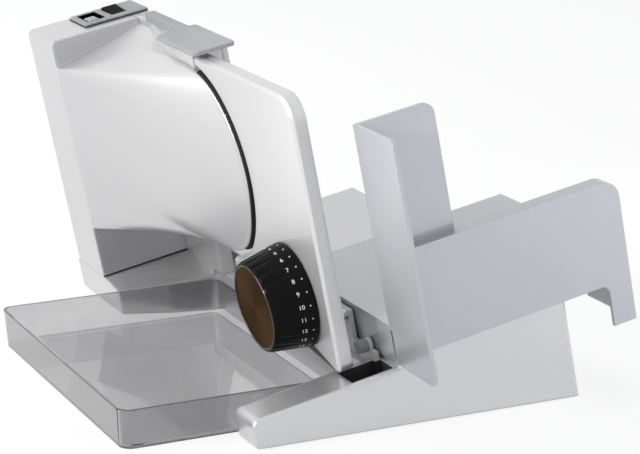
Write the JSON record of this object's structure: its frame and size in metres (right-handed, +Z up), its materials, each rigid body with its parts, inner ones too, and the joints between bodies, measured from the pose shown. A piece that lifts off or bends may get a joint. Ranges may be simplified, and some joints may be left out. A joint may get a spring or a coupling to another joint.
{
  "type": "food slicer",
  "caption": "Domestic electric food slicer with leaning round blade, sliding carriage, thickness dial with stop plate, top switches and a loose slice tray.",
  "frame": {"origin": "middle of the overall box, on the table", "axes": "+X to the user's right, +Y away from the user, +Z up; the machine leans to the left by 11.2 degrees about Y"},
  "size_m": [0.3788, 0.4756, 0.25],
  "materials": {
    "silver_paint": "satin silver paint on an aluminium die casting",
    "blue_grey_paint": "satin blue-grey paint on folded aluminium sheet",
    "blade_steel": "ground steel",
    "plain_steel": "plain turned steel",
    "motor_steel": "plated steel",
    "bronze": "sintered bronze",
    "chrome": "bright chrome",
    "polished_metal": "polished and fine turned",
    "black_gloss": "glossy black plastic with a printed scale",
    "grey_plastic": "fine-grained grey plastic",
    "black_plastic": "fine-grained black plastic",
    "dark_plastic": "plain dark plastic",
    "white_nylon": "white sliding plastic",
    "smoky_clear": "clear smoky moulding",
    "rubber": "plain black rubber"
  },
  "bodies": {
    "frame": {"base_casting": "silver_paint", "base_cover": "dark_plastic", "base_cover_screws": "plain_steel", "rubber_feet": "rubber", "cable_bush": "rubber", "motor_housing": "silver_paint", "guard_shoulder": "silver_paint", "blade_frame": "silver_paint", "rear_frame": "silver_paint", "top_guard": "grey_plastic", "switch_plate": "grey_plastic", "switch_bodies": "black_plastic", "slide_bracket": "white_nylon", "guide_rods": "plain_steel", "front_peg": "grey_plastic", "guide_rail": "plain_steel", "blade_bush": "bronze", "motor_can": "motor_steel", "motor_gearbox": "dark_plastic", "motor_posts": "plain_steel", "motor_screws": "plain_steel", "drive_belt": "rubber"},
    "carriage": {"carriage_floor": "blue_grey_paint", "pusher_wall": "blue_grey_paint", "thumb_guard": "blue_grey_paint", "carriage_glide": "white_nylon", "glide_runner": "white_nylon"},
    "thickness_plate": {"stop_plate": "silver_paint", "stop_plate_face": "blade_steel", "guide_bushes": "white_nylon"},
    "dial": {"thickness_knob": "black_gloss", "knob_ring": "chrome", "knob_cap": "polished_metal", "knob_shaft": "plain_steel"},
    "cutter": {"blade": "blade_steel", "blade_shaft": "plain_steel", "blade_pulley": "dark_plastic"},
    "cutter_lock": {"blade_lock": "grey_plastic"},
    "rotor": {"motor_shaft": "plain_steel", "motor_pulley": "dark_plastic"},
    "tray": {"slice_tray": "smoky_clear"},
    "lock_switch": {"lock_slider": "grey_plastic"},
    "power_switch": {"power_button": "black_plastic"}
  },
  "joints": [
    {"name": "carriage_slide", "type": "slide", "parent": "frame", "child": "carriage", "axis": [0, 1, 0], "range_m": [0, 0.18]},
    {"name": "plate_slide", "type": "slide", "parent": "frame", "child": "thickness_plate", "axis": [-0.981, 0, -0.1942], "range_m": [-0.02, 0]},
    {"name": "dial_turn", "type": "hinge", "parent": "thickness_plate", "child": "dial", "pos_m": [-0.05676, -0.1086, 0.08132], "axis": [-0.981, 0, -0.1942], "range_deg": [-297, 1]},
    {"name": "blade_spin", "type": "hinge", "parent": "frame", "child": "cutter", "pos_m": [-0.02713, 0.0123, 0.15824], "axis": [0.981, 0, 0.1942], "continuous": true},
    {"name": "blade_lock_turn", "type": "hinge", "parent": "cutter", "child": "cutter_lock", "pos_m": [-0.02713, 0.0123, 0.15824], "axis": [0.981, 0, 0.1942], "range_deg": [0, 90]},
    {"name": "motor_spin", "type": "hinge", "parent": "frame", "child": "rotor", "pos_m": [-0.0404, 0.1628, 0.14287], "axis": [0.981, 0, 0.1942], "continuous": true},
    {"name": "tray_slide", "type": "slide", "parent": "frame", "child": "tray", "axis": [-1, 0, 0], "range_m": [0, 0.25]},
    {"name": "lock_slide", "type": "slide", "parent": "frame", "child": "lock_switch", "axis": [0, 1, 0], "range_m": [0, 0.01]},
    {"name": "power_press", "type": "slide", "parent": "frame", "child": "power_switch", "axis": [0.1942, 0, -0.981], "range_m": [0, 0.0025], "stiffness_N_per_m": 400}
  ],
  "couplings": [
    {"joint": "dial_turn", "follows": "plate_slide", "rad_per_m": 258.31},
    {"joint": "motor_spin", "follows": "blade_spin", "ratio": 2.4444}
  ]
}
